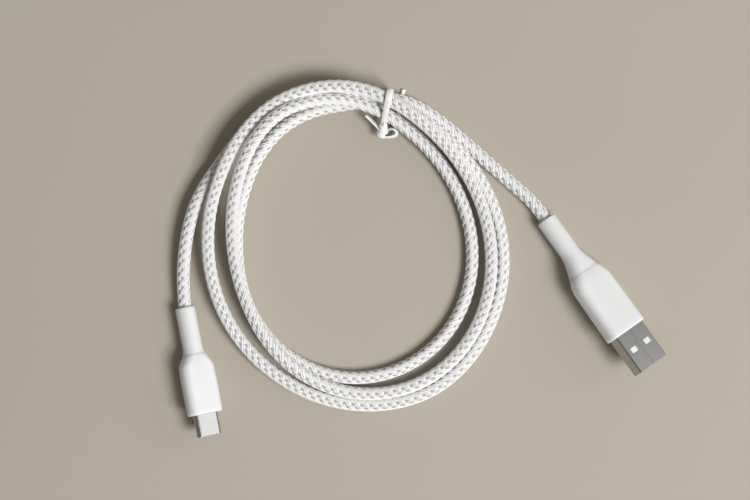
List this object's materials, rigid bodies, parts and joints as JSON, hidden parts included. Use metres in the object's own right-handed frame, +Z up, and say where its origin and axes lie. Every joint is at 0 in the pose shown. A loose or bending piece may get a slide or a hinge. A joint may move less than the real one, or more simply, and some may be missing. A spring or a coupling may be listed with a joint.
{
  "type": "charging cable",
  "caption": "White braided USB-A to USB-C charging cable, coiled and held by a twist tie, with moulded plugs and steel shells.",
  "frame": {"origin": "on the surface the cable lies on, under the middle of the box around the two plugs and the tie", "axes": "+Z up, away from the surface; +X from the USB-C plug's side to the USB-A plug's side; +Y from the plugs' tips towards the tie"},
  "size_m": [0.1552, 0.1129, 0.014],
  "materials": {
    "braid": "woven",
    "moulding": "satin",
    "shell_steel": "brushed",
    "spring_steel": "satin",
    "insulator_white": "satin",
    "insulator_dark": "satin",
    "inner_mould": "matte",
    "jacket": "matte",
    "tie_plastic": "gloss",
    "circuit_board": "satin",
    "resistor": "matte",
    "contact_gold": "polished",
    "wire_red": "satin",
    "wire_black": "satin",
    "wire_green": "satin",
    "wire_white": "satin"
  },
  "bodies": {
    "cable": {"cord_coil": "braid", "cord_lead": "braid", "cord_tail": "braid", "tie_strip": "tie_plastic", "tie_wire": "spring_steel", "usb_a_body": "moulding", "usb_a_cable_core": "jacket", "usb_a_contact_d_minus": "contact_gold", "usb_a_contact_d_plus": "contact_gold", "usb_a_contact_ground": "contact_gold", "usb_a_contact_vbus": "contact_gold", "usb_a_crimp_collar": "spring_steel", "usb_a_inner_mould": "inner_mould", "usb_a_insulator": "insulator_white", "usb_a_shell": "shell_steel", "usb_a_strain_relief": "moulding", "usb_a_wire_d_minus": "wire_white", "usb_a_wire_d_plus": "wire_green", "usb_a_wire_ground": "wire_black", "usb_a_wire_vbus": "wire_red", "usb_c_body": "moulding", "usb_c_cable_core": "jacket", "usb_c_crimp_collar": "spring_steel", "usb_c_ground_spring_bottom": "spring_steel", "usb_c_ground_spring_top": "spring_steel", "usb_c_inner_mould": "inner_mould", "usb_c_insulator": "insulator_dark", "usb_c_lower_terminals": "contact_gold", "usb_c_paddle_card": "circuit_board", "usb_c_pull_up_resistor": "resistor", "usb_c_rear_can": "spring_steel", "usb_c_shell": "shell_steel", "usb_c_strain_relief": "moulding", "usb_c_upper_terminals": "contact_gold", "usb_c_wire_d_minus": "wire_white", "usb_c_wire_d_plus": "wire_green", "usb_c_wire_ground": "wire_black", "usb_c_wire_vbus": "wire_red"},
    "latch_left": {"usb_c_latch_left": "spring_steel"},
    "latch_right": {"usb_c_latch_right": "spring_steel"},
    "upper_contacts": {"usb_c_upper_contacts": "contact_gold"},
    "lower_contacts": {"usb_c_lower_contacts": "contact_gold"}
  },
  "joints": [
    {"name": "latch_left_flex", "type": "hinge", "parent": "cable", "child": "latch_left", "pos_m": [-0.07108, -0.04673, 0.00705], "axis": [-0.4802, -0.149, -0.8644], "range_deg": [0, 1.2], "stiffness_Nm_per_rad": 0.01},
    {"name": "latch_right_flex", "type": "hinge", "parent": "cable", "child": "latch_right", "pos_m": [-0.06561, -0.04585, 0.00386], "axis": [0.4802, 0.149, 0.8644], "range_deg": [0, 1.2], "stiffness_Nm_per_rad": 0.01},
    {"name": "upper_contacts_flex", "type": "hinge", "parent": "cable", "child": "upper_contacts", "pos_m": [-0.06813, -0.04623, 0.00584], "axis": [-0.8555, -0.1383, 0.4991], "range_deg": [0, 1], "stiffness_Nm_per_rad": 0.01},
    {"name": "lower_contacts_flex", "type": "hinge", "parent": "cable", "child": "lower_contacts", "pos_m": [-0.06856, -0.04636, 0.00506], "axis": [0.8555, 0.1383, -0.4991], "range_deg": [0, 1], "stiffness_Nm_per_rad": 0.01}
  ]
}
